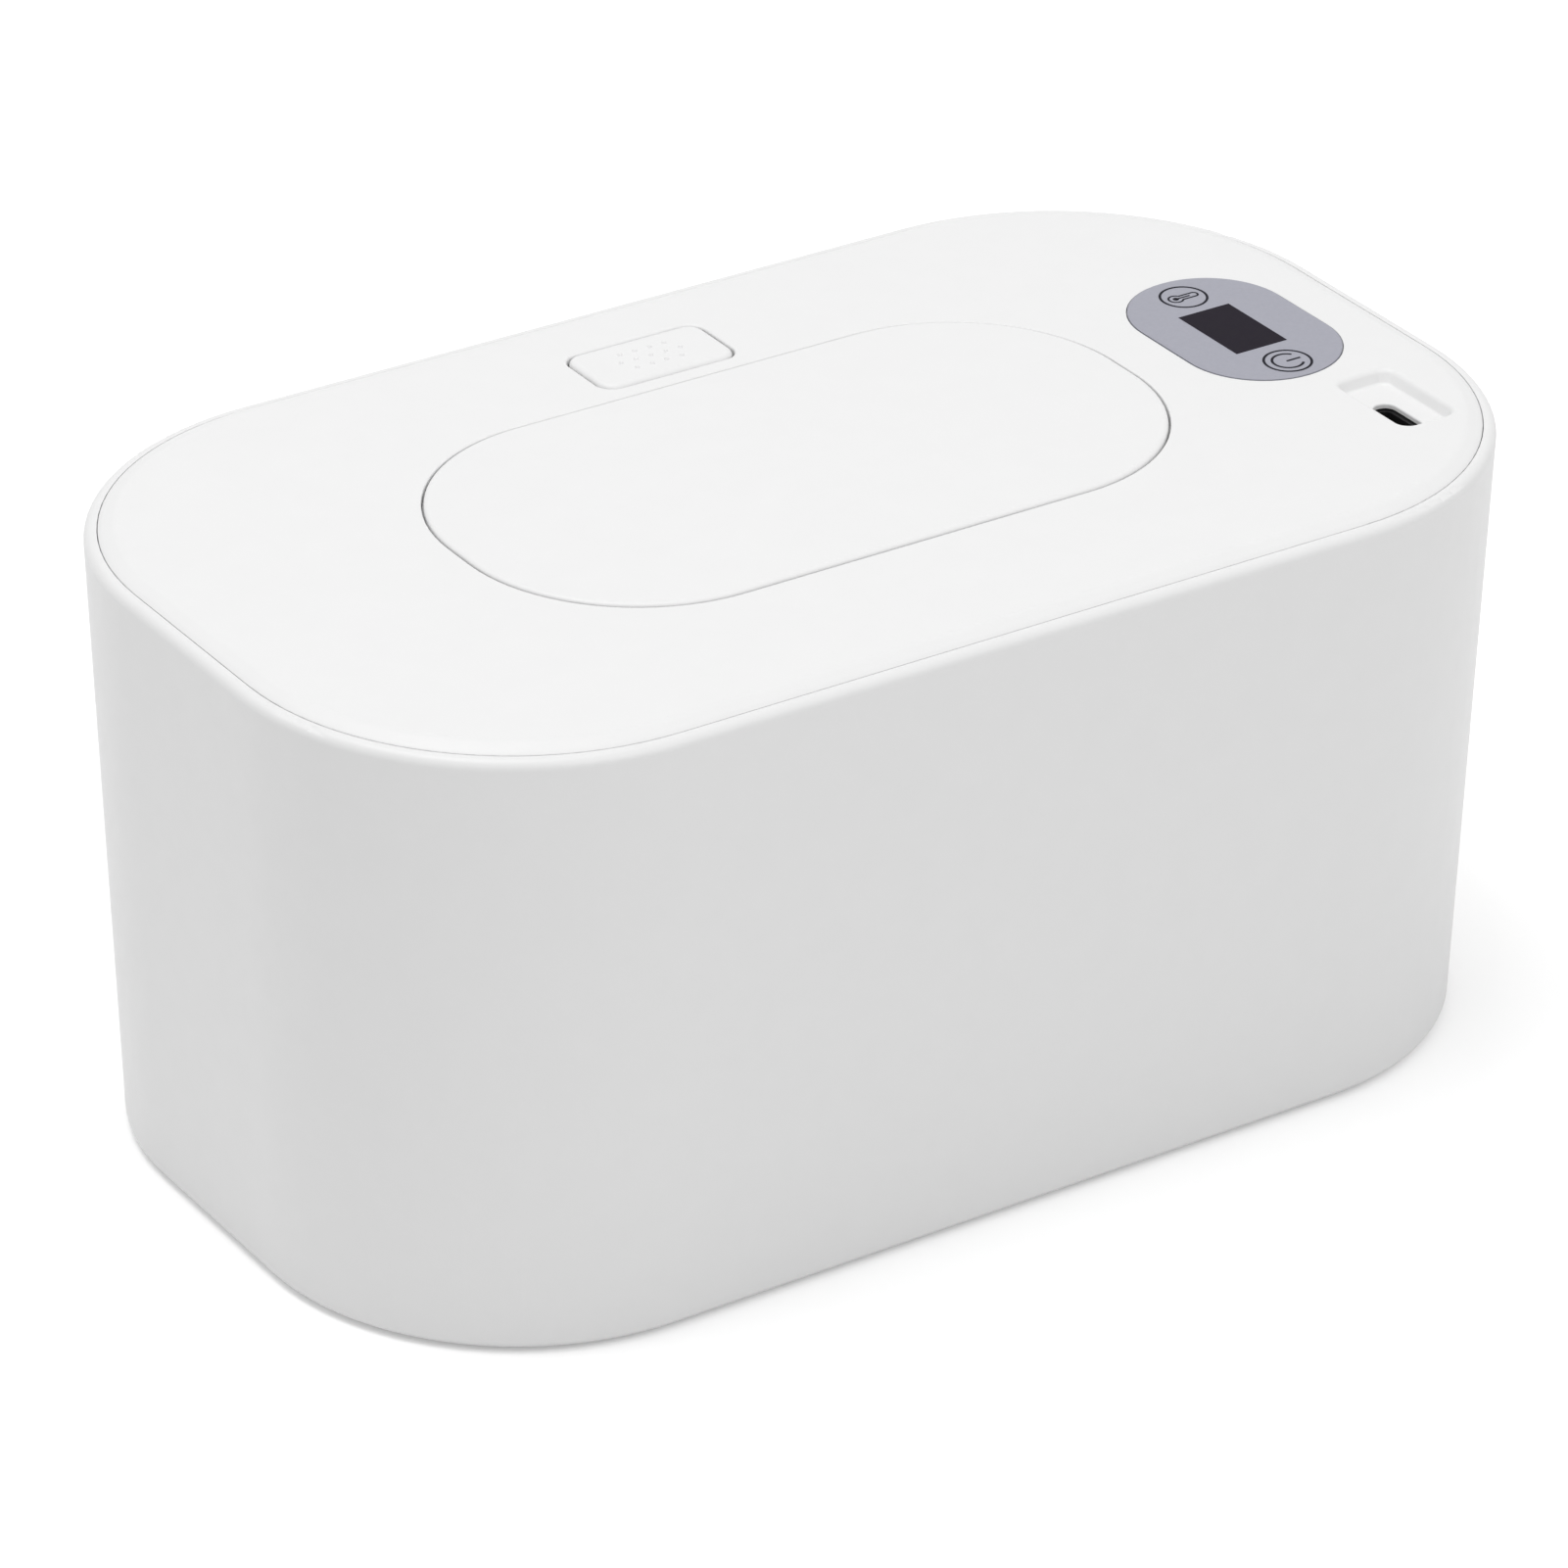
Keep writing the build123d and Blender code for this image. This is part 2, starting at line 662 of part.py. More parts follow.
    # Softened rims round the openings of the top.
    for rim_length, rim_r in ((opening_length, opening_rim_r), (pocket_length, pocket_rim_r),
                              (recess_width, recess_rim_r)):
        fillet(rim_edges(lid_shell, lid_top, rim_length), rim_r)
    fillet(rim_edges(lid_shell, lid_top - recess_depth, slot_width), slot_rim_r)
save(lid_shell, "lid_shell")

# ====================================================================================
# Lid underside
# ====================================================================================

with BuildPart() as lid_inner_cover:
    rounded_slab(lid_size(skirt_inset + cover_play), cover_z, skirt_z)
    rounded_slab(lid_size(skirt_inset + skirt_wall + cover_play), skirt_z, skirt_z + locating_rib)
    rounded_slab(lid_size(skirt_inset + skirt_wall + cover_play + rib_width), skirt_z, skirt_z + locating_rib,
                 Mode.SUBTRACT)
    rounded_slab(throat_size(0.0), cover_z, skirt_z, Mode.SUBTRACT)
    rounded_slab(lid_size(gasket_inset - groove_play), cover_z, cover_z + gasket_groove, Mode.SUBTRACT)
    rounded_slab(lid_size(gasket_inset + gasket_width + groove_play), cover_z, cover_z + gasket_groove)
    rounded_slab(throat_size(0.0), cover_z, skirt_z, Mode.SUBTRACT)
    posts(cover_screw_points, clear_hole_r, cover_z, skirt_z, Mode.SUBTRACT)
    posts(cover_screw_points, head_r + cover_head_play, cover_z, cover_z + head_sink, Mode.SUBTRACT)
    box_slab((fuse_x - fuse_r - sensor_play, -fuse_reach - fuse_end_play, cover_z),
             (fuse_x + fuse_r + sensor_play, fuse_reach + fuse_end_play,
             skirt_z), Mode.SUBTRACT)
    posts([(thermistor_x, thermistor_y)], thermistor_r + sensor_play, cover_z, skirt_z, Mode.SUBTRACT)
    posts(lead_points, lead_r + sensor_play, cover_z, skirt_z, Mode.SUBTRACT)
save(lid_inner_cover, "lid_inner_cover")

with BuildPart() as lid_gasket:
    rounded_slab(lid_size(gasket_inset), gasket_z, cover_z + gasket_groove)
    rounded_slab(lid_size(gasket_inset + gasket_width), gasket_z, cover_z + gasket_groove, Mode.SUBTRACT)
save(lid_gasket, "lid_gasket")

with BuildPart() as lid_screws:
    posts(cover_screw_points, head_r, cover_z + head_sink - head_height, cover_z + head_sink)
    posts(cover_screw_points, screw_r, cover_z + head_sink, skirt_z + boss_hole_depth - screw_tip_play)
save(lid_screws, "lid_screws")

with BuildPart() as heat_plate:
    rounded_slab((plate_length, plate_width, plate_corner_r), plate_z, film_z)
    fillet(heat_plate.faces().sort_by(Axis.Z)[0].edges(), plate_edge_r)
    rounded_slab(throat_size(plate_throat_play), plate_z, film_z, Mode.SUBTRACT)
save(heat_plate, "heat_plate")

with BuildPart() as heater_film:
    rounded_slab((plate_length - 2 * film_inset, plate_width - 2 * film_inset, plate_corner_r - film_inset),
                 film_z, cover_z)
    rounded_slab(throat_size(film_inset), film_z, cover_z, Mode.SUBTRACT)
save(heater_film, "heater_film")

with BuildPart() as heater_insulation:
    rounded_slab((foam_length, foam_width, foam_corner_r), skirt_z, skirt_z + foam_thickness)
    rounded_slab(throat_size(throat_wall + foam_lid_play), skirt_z, skirt_z + foam_thickness, Mode.SUBTRACT)
    box_slab((-well_half - tray_wall - foam_lid_play, well_near_y - tray_wall - foam_lid_play, skirt_z),
             (well_half + tray_wall + foam_lid_play, well_far_y + tray_wall + foam_lid_play,
              skirt_z + foam_thickness),
             Mode.SUBTRACT)
save(heater_insulation, "heater_insulation")

# Thermal fuse lying on the film, its leads bent up to the board.
with BuildPart() as thermal_fuse:
    with BuildSketch(Plane.XZ.offset(-fuse_length / 2)) as fuse_section:
        with Locations((fuse_x, fuse_z)):
            Circle(fuse_r)
    extrude(fuse_section.sketch, amount=fuse_length)
    for side in (-1, 1):
        with BuildLine() as lead_path:
            FilletPolyline((fuse_x, side * (fuse_length / 2 - fuse_lead_root), fuse_z),
                           (fuse_x, side * fuse_reach, fuse_z),
                           (fuse_x, side * fuse_reach, board_under_z), radius=fuse_lead_bend)
        with BuildSketch(Plane(lead_path.line @ 0, z_dir=lead_path.line % 0)) as lead_section:
            RegularPolygon(fuse_lead_r, 6)
        sweep(lead_section.sketch, path=lead_path.line)
save(thermal_fuse, "thermal_fuse")

with BuildPart() as thermistor:
    posts([(thermistor_x, thermistor_y)], thermistor_r, cover_z + sensor_gap, cover_z + thermistor_height)
    posts([(thermistor_x + side * thermistor_lead_half, thermistor_y) for side in (-1, 1)],
          thermistor_lead_r, cover_z + thermistor_height,
          board_under_z)
save(thermistor, "thermistor")

with BuildPart() as heater_leads:
    posts(lead_points, lead_r, cover_z, board_under_z)
save(heater_leads, "heater_leads")

with BuildPart() as hinge_well_cover:
    box_slab((-well_half - tray_wall, well_near_y - tray_wall, skirt_z),
             (well_half + tray_wall, well_far_y + tray_wall, well_z))
save(hinge_well_cover, "hinge_well_cover")

# ====================================================================================
# Control panel and electronics
# ====================================================================================

with BuildPart() as control_panel:
    rounded_slab((panel_width, panel_length, panel_corner_r), panel_z, lid_top + panel_proud, x=panel_x,
                 y=panel_y)
save(control_panel, "control_panel")

with BuildPart() as display_module:
    rounded_slab((display_width, display_length, display_corner_r), display_z, panel_z - display_gap,
                 x=panel_x, y=panel_y)
    for x, y in pin_points:
        box_slab((x - pin_half, y - pin_half, board_z), (x + pin_half, y + pin_half, display_z))
save(display_module, "display_module")

with BuildPart() as control_board:
    rounded_slab((board_width, board_length, board_corner_r), board_under_z, board_z, x=board_x, y=board_y)
    posts(board_screw_points, clear_hole_r, board_under_z, board_z, Mode.SUBTRACT)
save(control_board, "control_board")

chip_x = board_left + chip_inset + chip_width / 2
chip_points = ((chip_x, chip_y), (chip_x, chip_y - chip_pitch),
               (board_right - chip_inset - chip_width / 2, chip_y - 2 * chip_pitch))
with BuildPart() as board_chips:
    for x, y in chip_points:
        box_slab((x - chip_width / 2, y - chip_length / 2, board_z),
                 (x + chip_width / 2, y + chip_length / 2, board_z + chip_height))
    posts([(board_left + capacitor_inset, capacitor_y)], capacitor_r, board_z, board_z + capacitor_height)
save(board_chips, "board_chips")

with BuildPart() as board_screws:
    posts(board_screw_points, head_r, board_under_z - head_height, board_under_z)
    posts(board_screw_points, screw_r, board_under_z, board_z + short_hole_depth - screw_tip_play)
save(board_screws, "board_screws")

with BuildPart() as power_socket:
    rounded_slab((socket_width, socket_length, socket_corner_r), board_z, socket_top_z, x=slot_x, y=slot_y)
    rounded_slab((mouth_width, mouth_length, mouth_width / 2 - stadium_trim), socket_top_z - mouth_depth,
                 socket_top_z, Mode.SUBTRACT, slot_x, slot_y)
    box_slab((slot_x - tongue_plate / 2, slot_y - mouth_length / 2 + tongue_end_play,
              socket_top_z - mouth_depth),
             (slot_x + tongue_plate / 2, slot_y + mouth_length / 2 - tongue_end_play,
              socket_top_z - tongue_sink))
save(power_socket, "power_socket")


def coil(start, direction, mean_r, wire_r, length, turns, legs=(0.0, 0.0)):
    """A helical spring along a direction, with straight legs of these lengths off its two ends."""
    with BuildLine() as path:
        Helix(pitch=length / turns, height=length, radius=mean_r, center=start, direction=direction)
    first = Plane(path.line @ 0, z_dir=path.line % 0)
    last = Plane(path.line @ 1, x_dir=first.x_dir, z_dir=path.line % 1)
    with BuildSketch(first) as wire:
        RegularPolygon(wire_r, 6)
    sweep(wire.sketch, path=path.line, is_frenet=True)
    for plane, leg in ((first, -legs[0]), (last, legs[1])):
        if leg:
            with BuildSketch(plane) as leg_section:
                RegularPolygon(wire_r, 6)
            extrude(leg_section.sketch, amount=leg)


with BuildPart() as touch_springs:
    for key_x, key_y in key_points:
        coil((key_x, key_y, board_z + key_wire_r), (0, 0, 1), key_spring_r, key_wire_r,
             panel_z - board_z - 2 * key_wire_r, key_turns)
save(touch_springs, "touch_springs")

# ====================================================================================
# Dispensing door
# ====================================================================================

with BuildPart() as door_shell:
    rounded_slab(opening_size(door_gap), door_under_z, lid_top + door_proud)
    fillet(door_shell.faces().sort_by(Axis.Z)[-1].edges(), door_edge_r)
save(door_shell, "door_shell")


def draw_arm(x):
    """Side view of a swan-neck arm: barrel, strut, bow round the lid's edge, and foot under the door."""
    angle = radians(arm_foot_angle)
    with BuildSketch(Plane.YZ.offset(x)) as side:
        with Locations((hinge_y, hinge_z)):
            Circle(barrel_r)
        with Locations((hinge_y + cos(angle) * arm_outer_r / 2, hinge_z + sin(angle) * arm_outer_r / 2)):
            Rectangle(arm_outer_r - arm_strut_trim, arm_strut, rotation=arm_foot_angle)
        with BuildLine():
            outer_bow = CenterArc((hinge_y, hinge_z), arm_outer_r, arm_foot_angle, -arm_foot_angle)
            inner_bow = CenterArc((hinge_y, hinge_z), arm_inner_r, arm_foot_angle, -arm_foot_angle)
            Line(outer_bow @ 0, inner_bow @ 0)
            Line(outer_bow @ 1, inner_bow @ 1)
        make_face()
        with BuildLine():
            Polyline((hinge_y + arm_inner_r, hinge_z), (hinge_y + arm_outer_r, hinge_z),
                     (hinge_y + arm_outer_r, door_liner_z), (liner_near_y + arm_root, door_liner_z),
                     (liner_near_y + arm_root, door_under_z), (hinge_y + arm_inner_r, door_under_z),
                     close=True)
        make_face()
        with Locations((hinge_y, hinge_z)):
            Circle(pin_r + pin_play, mode=Mode.SUBTRACT)
    return side.sketch


liner_near_y = -door_half + liner_inset
groove_inner = throat_wall / 2 - seal_width / 2 - seal_play
groove_outer = throat_wall / 2 + seal_width / 2 + seal_play
with BuildPart() as door_liner:
    rounded_slab(opening_size(door_gap + liner_inset), door_liner_z, door_under_z)
    rounded_slab(throat_size(groove_outer + seal_rib), door_liner_z - seal_rib_depth, door_liner_z)
    rounded_slab(throat_size(groove_outer), door_liner_z - seal_rib_depth, door_liner_z, Mode.SUBTRACT)
    rounded_slab(throat_size(groove_inner), door_liner_z - seal_rib_depth, door_liner_z)
    rounded_slab(throat_size(groove_inner - seal_rib), door_liner_z - seal_rib_depth, door_liner_z,
                 Mode.SUBTRACT)
    for x in (-arm_x, arm_x):
        extrude(draw_arm(x - arm_width / 2), amount=arm_width)
save(door_liner, "door_liner")

with BuildPart() as door_seal:
    rounded_slab(throat_size(throat_wall / 2 + seal_width / 2), lip_z + seal_gap, door_liner_z)
    rounded_slab(throat_size(throat_wall / 2 - seal_width / 2), lip_z + seal_gap, door_liner_z, Mode.SUBTRACT)
save(door_seal, "door_seal")

# Flexible hook of the door: foot under the liner, shank, and nose under the latch's tongue.
shank_y = tongue_tip_y - catch_play - catch_thickness
nose_z = tongue_z - catch_gap
catch_foot_z = door_liner_z - catch_foot_thickness
with BuildPart() as door_catch:
    with BuildSketch(Plane.YZ.offset(-catch_half)) as hook_side:
        with BuildLine():
            Polyline((shank_y, door_under_z), (shank_y + catch_thickness, door_under_z),
                     (shank_y + catch_thickness, nose_z), (nose_tip_y, nose_z),
                     (nose_tip_y, nose_z - nose_land), (shank_y + nose_land, nose_z - nose_height),
                     (shank_y, nose_z - nose_height), (shank_y, catch_foot_z),
                     (shank_y - catch_foot, catch_foot_z), (shank_y - catch_foot, door_liner_z),
                     (shank_y, door_liner_z), close=True)
        make_face()
    extrude(hook_side.sketch, amount=2 * catch_half)
save(door_catch, "door_catch")

with BuildPart() as hinge_pin:
    with BuildSketch(Plane.YZ.offset(-lug_x - lug_width / 2)) as pin_section:
        with Locations((hinge_y, hinge_z)):
            Circle(pin_r)
    extrude(pin_section.sketch, amount=2 * lug_x + lug_width)
save(hinge_pin, "hinge_pin")

# Torsion spring round the pin: one leg under the door, the other under the lid's skin.
coil_start_x = spring_lug_x[0] + lug_width / 2 + spring_side_play
coil_end_x = spring_lug_x[1] - lug_width / 2 - spring_side_play
with BuildPart() as door_spring:
    coil((coil_start_x, hinge_y, hinge_z), (1, 0, 0), coil_mean_r, coil_wire_r, coil_end_x - coil_start_x,
         coil_turns, (spring_door_leg, spring_lid_leg))
save(door_spring, "door_spring")

# ====================================================================================
# Release button and latch
# ====================================================================================

button_length = pocket_length - 2 * button_gap
button_width = pocket_width - 2 * button_gap
button_r = pocket_corner_r - button_gap
button_top_z = lid_top + button_proud
cap_z = lid_top - button_skin
button_skirt_z = lid_top - button_skirt
snap_top_z = lid_top - pocket_wall_depth - slider_play
snap_foot_z = button_skirt_z + snap_foot
dot_points = [(column * dot_pitch, pocket_y) for column in (-2, -1, 0, 1, 2)]
dot_points += [((column + 0.5) * dot_pitch, pocket_y + row * dot_row) for row in (-1, 1)
               for column in (-2, -1, 0, 1)]
with BuildPart() as push_button:
    rounded_slab((button_length, button_width, button_r), button_skirt_z, button_top_z, y=pocket_y)
    fillet(push_button.faces().sort_by(Axis.Z)[-1].edges(), button_edge_r)
    rounded_slab((button_length - 2 * button_skirt_wall, button_width - 2 * button_skirt_wall,
                  button_r - button_skirt_wall), button_skirt_z, cap_z, Mode.SUBTRACT, y=pocket_y)
    box_slab((-slot_half, pocket_near_y, button_skirt_z), (slot_half, pocket_near_y + button_keel, cap_z),
             Mode.SUBTRACT)
    # Legs with the ramps that drive the latch back.
    for x in (-leg_x, leg_x):
        with BuildSketch(Plane.YZ.offset(x - leg_width / 2)) as leg_side:
            with BuildLine():
                Polyline((leg_near_y, cap_z), (leg_far_y, cap_z), (leg_far_y, leg_ramp_z),
                         (leg_bottom_y, leg_ramp_z - leg_far_y + leg_bottom_y),
                         (leg_near_y, leg_ramp_z - leg_far_y + leg_bottom_y), close=True)
            make_face()
        extrude(leg_side.sketch, amount=leg_width)
    # Snap hooks that keep the button in its pocket.
    for side in (-1, 1):
        with BuildSketch(Plane.XZ.offset(-pocket_y - snap_half)) as snap_side:
            with BuildLine():
                Polyline((side * (button_length / 2 - snap_root), snap_foot_z),
                         (side * button_length / 2, snap_foot_z),
                         (side * button_length / 2, snap_top_z),
                         (side * (pocket_length / 2 + snap_reach), snap_top_z),
                         (side * button_length / 2, snap_top_z - snap_height),
                         (side * (button_length / 2 - snap_root), snap_top_z - snap_height), close=True)
            make_face()
        extrude(snap_side.sketch, amount=2 * snap_half)
    # Raised grip dots in rows of four, five and four.
    with BuildSketch(Plane.XY.offset(button_top_z)) as dot_feet:
        with Locations(*dot_points):
            Circle(dot_r)
    extrude(dot_feet.sketch, amount=dot_height, taper=dot_taper)
save(push_button, "push_button")

with BuildPart() as latch_slider:
    box_slab((-slider_half, pocket_near_y - tongue_thickness, slider_bottom_z),
             (slider_half, slider_rear_y, slider_top_z))
    box_slab((-tongue_half, pocket_near_y - tongue_thickness, slider_bottom_z),
             (tongue_half, pocket_near_y, tongue_top_z))
    with BuildSketch(Plane.YZ.offset(-tongue_half)) as tongue_side:
        with BuildLine():
            Polyline((tongue_tip_y, tongue_z), (pocket_near_y, tongue_z), (pocket_near_y, tongue_top_z),
                     (tongue_tip_y + tongue_bevel, tongue_top_z),
                     (tongue_tip_y, tongue_top_z - tongue_bevel), close=True)
        make_face()
    extrude(tongue_side.sketch, amount=2 * tongue_half)
    for x in (-leg_x, leg_x):
        with BuildSketch(Plane.YZ.offset(x - leg_width / 2 - window_end_play)) as window_side:
            with BuildLine():
                Polyline((window_near_y, slider_bottom_z), (ramp_foot_y, slider_bottom_z),
                         (ramp_foot_y + slider_top_z - slider_bottom_z, slider_top_z),
                         (window_near_y, slider_top_z), close=True)
            make_face()
        extrude(window_side.sketch, amount=leg_width + 2 * window_end_play, mode=Mode.SUBTRACT)
    with BuildSketch(Plane.XZ.offset(-slider_rear_y)) as peg_section:
        with Locations((0, latch_spring_z)):
            Circle(latch_peg_r)
    extrude(peg_section.sketch, amount=-latch_peg)
save(latch_slider, "latch_slider")

with BuildPart() as latch_spring:
    coil((0, slider_rear_y + latch_wire_r, latch_spring_z), (0, 1, 0), latch_coil_r, latch_wire_r,
         retainer_wall_y - slider_rear_y - 2 * latch_wire_r, latch_turns)
save(latch_spring, "latch_spring")

with BuildPart() as latch_retainer:
    rounded_slab((2 * retainer_half, retainer_end_y - pocket_near_y, retainer_corner_r),
                 retainer_z - retainer_thickness, retainer_z, y=(retainer_end_y + pocket_near_y) / 2)
    box_slab((-retainer_wall_half, retainer_wall_y, retainer_z),
             (retainer_wall_half, retainer_end_y, latch_spring_z + 2 * latch_coil_r))
    for side in (-1, 1):
        box_slab((side * slot_half + min(0, side) * guide_wall, pocket_near_y + guide_wall, retainer_z),
                 (side * slot_half + max(0, side) * guide_wall, slider_rear_y, slider_top_z - slider_play))
        box_slab((side * leg_x - leg_width / 2 - window_side_play, leg_near_y - window_side_play,
                  retainer_z - retainer_thickness),
                 (side * leg_x + leg_width / 2 + window_side_play, leg_far_y + window_side_play, retainer_z),
                 Mode.SUBTRACT)
    posts(retainer_screw_points, clear_hole_r, retainer_z - retainer_thickness, retainer_z, Mode.SUBTRACT)
save(latch_retainer, "latch_retainer")

with BuildPart() as retainer_screws:
    posts(retainer_screw_points, head_r, retainer_z - retainer_thickness - head_height,
          retainer_z - retainer_thickness)
    posts(retainer_screw_points, screw_r, retainer_z - retainer_thickness,
          retainer_z + short_hole_depth - screw_tip_play)
save(retainer_screws, "retainer_screws")
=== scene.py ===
import json
from math import cos, radians, sin

import bmesh
import bpy
from mathutils import Matrix, Vector

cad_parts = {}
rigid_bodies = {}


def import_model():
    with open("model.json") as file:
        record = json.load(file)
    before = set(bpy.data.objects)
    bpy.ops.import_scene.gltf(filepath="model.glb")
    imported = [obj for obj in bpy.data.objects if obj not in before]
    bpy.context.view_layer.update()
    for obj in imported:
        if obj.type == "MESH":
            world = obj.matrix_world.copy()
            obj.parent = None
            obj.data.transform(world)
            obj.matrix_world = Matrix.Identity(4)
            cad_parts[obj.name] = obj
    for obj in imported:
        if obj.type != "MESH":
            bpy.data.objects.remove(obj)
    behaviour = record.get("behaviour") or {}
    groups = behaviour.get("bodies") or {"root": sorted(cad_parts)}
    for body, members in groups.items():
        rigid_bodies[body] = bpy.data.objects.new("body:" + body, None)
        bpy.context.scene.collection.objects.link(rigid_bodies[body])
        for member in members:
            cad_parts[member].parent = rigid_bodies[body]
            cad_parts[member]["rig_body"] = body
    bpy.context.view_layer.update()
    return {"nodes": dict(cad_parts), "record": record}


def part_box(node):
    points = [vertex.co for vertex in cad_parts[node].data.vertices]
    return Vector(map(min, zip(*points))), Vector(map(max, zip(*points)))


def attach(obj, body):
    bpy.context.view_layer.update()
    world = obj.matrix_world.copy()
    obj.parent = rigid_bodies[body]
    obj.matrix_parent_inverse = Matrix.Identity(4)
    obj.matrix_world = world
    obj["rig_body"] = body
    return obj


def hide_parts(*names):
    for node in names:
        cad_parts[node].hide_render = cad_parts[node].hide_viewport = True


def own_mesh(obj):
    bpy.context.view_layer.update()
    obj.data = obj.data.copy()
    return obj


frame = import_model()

# A baby wipe warmer's looks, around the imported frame. Metres, +X towards the control panel,
# +Y towards the release button, +Z up, the origin under the middle of the feet.

MM = 0.001
PANEL_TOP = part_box("control_panel")[1].z
PANEL_LOW, PANEL_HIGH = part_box("control_panel")

# ---------- Smooth skins over the CAD nodes ----------
WELD = 1e-6                  # points nearer than this are one
FLAT_ANGLE = radians(0.4)    # faces that meet flatter than this are one
SHARP_ANGLE = radians(27)    # an edge that turns more than this stays crisp
LARGE_FACES_LEAD = 100       # the large faces at a corner decide its normal


def body_of_node(node):
    """The name of the body that a CAD node moves with."""
    return frame["nodes"][node]["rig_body"]


def finish_piece(piece, body, material):
    """Gives a new piece its body and its material."""
    piece.data.materials.clear()
    piece.data.materials.append(material)
    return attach(piece, body)


def smooth_skin(node, material):
    """The node's own surface with its CAD faces joined, smooth where it is round and crisp at its edges."""
    mesh = frame["nodes"][node].data.copy()
    mesh.name = node + "_skin"
    form = bmesh.new()
    form.from_mesh(mesh)
    bmesh.ops.remove_doubles(form, verts=form.verts, dist=WELD)
    bmesh.ops.dissolve_limit(form, angle_limit=FLAT_ANGLE, verts=form.verts, edges=form.edges)
    for face in form.faces:
        face.smooth = True
    for edge in form.edges:
        edge.smooth = len(edge.link_faces) == 2 and edge.calc_face_angle(0.0) < SHARP_ANGLE
    form.to_mesh(mesh)
    form.free()
    piece = bpy.data.objects.new(node + "_skin", mesh)
    bpy.context.scene.collection.objects.link(piece)
    normals = piece.modifiers.new("even_normals", "WEIGHTED_NORMAL")
    normals.keep_sharp = True
    normals.weight = LARGE_FACES_LEAD
    finish_piece(piece, body_of_node(node), material)
    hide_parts(node)
    return piece


# ---------- Materials ----------
PLASTIC_IOR = 1.46
WINDOW_SPECULAR = 0.045      # the window's coating reflects little
FOAM_CELL = 0.8 * MM
TRACK_UNIT = 9.0 * MM        # a track is half of this long and a quarter of it wide


def new_material(name):
    """An empty node material: its tree, its shader and its object coordinates."""
    material = bpy.data.materials.new(name)
    material.use_nodes = True
    tree = material.node_tree
    tree.nodes.clear()
    output = tree.nodes.new("ShaderNodeOutputMaterial")
    shader = tree.nodes.new("ShaderNodeBsdfPrincipled")
    place = tree.nodes.new("ShaderNodeTexCoord")
    tree.links.new(shader.outputs["BSDF"], output.inputs["Surface"])
    return material, tree, shader, place.outputs["Object"]


def noise(tree, place, size, detail=2.0):
    """Noise whose blotches are about this many millimetres across."""
    node = tree.nodes.new("ShaderNodeTexNoise")
    node.inputs["Scale"].default_value = 1.0 / (size * MM)
    node.inputs["Detail"].default_value = detail
    tree.links.new(place, node.inputs["Vector"])
    return node.outputs["Fac"]


def spread(tree, value, low, high, start=0.3, end=0.7):
    """A value's range from start to end, mapped to low..high. By default, the middle range of noise."""
    node = tree.nodes.new("ShaderNodeMapRange")
    node.inputs["From Min"].default_value = start
    node.inputs["From Max"].default_value = end
    node.inputs["To Min"].default_value = low
    node.inputs["To Max"].default_value = high
    tree.links.new(value, node.inputs["Value"])
    return node.outputs["Result"]


def two_tone(tree, factor, first, second):
    """A colour between two, by a factor from 0 to 1."""
    node = tree.nodes.new("ShaderNodeMix")
    node.data_type = "RGBA"
    node.inputs["A"].default_value = (*first, 1.0)
    node.inputs["B"].default_value = (*second, 1.0)
    tree.links.new(factor, node.inputs["Factor"])
    return node.outputs["Result"]


def bump(tree, shader, height, depth, strength=1.0, under=None):
    """A bump of this depth in millimetres, over another bump if one is given."""
    node = tree.nodes.new("ShaderNodeBump")
    node.inputs["Strength"].default_value = strength
    node.inputs["Distance"].default_value = depth * MM
    tree.links.new(height, node.inputs["Height"])
    if under is not None:
        tree.links.new(under, node.inputs["Normal"])
    tree.links.new(node.outputs["Normal"], shader.inputs["Normal"])
    return node.outputs["Normal"]


def scaled(color, factor):
    """A colour made this many times as bright."""
    return tuple(channel * factor for channel in color)


def paint(tree, shader, pattern, dark, light):
    """Colours a shader by a pattern that runs from 0 to 1."""
    tree.links.new(two_tone(tree, pattern, dark, light), shader.inputs["Base Color"])


def polish(tree, shader, pattern, low, high):
    """An uneven sheen: the roughness follows a noise between two values."""
    tree.links.new(spread(tree, pattern, low, high), shader.inputs["Roughness"])


def moulded_plastic(name, color, roughness, grain=0.35, mottle=0.005):
    """Moulded plastic: a fine grain over slight waves, faint mottling and an uneven sheen."""
    material, tree, shader, place = new_material(name)
    blotches = spread(tree, noise(tree, place, size=6.0, detail=4.0), 0.0, 1.0)
    paint(tree, shader, blotches, scaled(color, 1.0 - mottle), scaled(color, 1.0 + mottle))
    polish(tree, shader, noise(tree, place, size=2.0), roughness - 0.04, roughness + 0.04)
    fine = bump(tree, shader, noise(tree, place, size=grain, detail=3.0), depth=0.010)
    bump(tree, shader, noise(tree, place, size=12.0), depth=0.012, strength=0.5, under=fine)
    shader.inputs["IOR"].default_value = PLASTIC_IOR
    return material


def printed_panel(name, color, specular=0.5):
    """A screen-printed overlay film: an even colour, a very fine matte texture."""
    material, tree, shader, place = new_material(name)
    specks = spread(tree, noise(tree, place, size=0.5, detail=3.0), 0.0, 1.0)
    paint(tree, shader, specks, scaled(color, 0.975), scaled(color, 1.025))
    polish(tree, shader, noise(tree, place, size=1.2), 0.42, 0.5)
    bump(tree, shader, noise(tree, place, size=0.12), depth=0.004)
    shader.inputs["Specular IOR Level"].default_value = specular
    return material


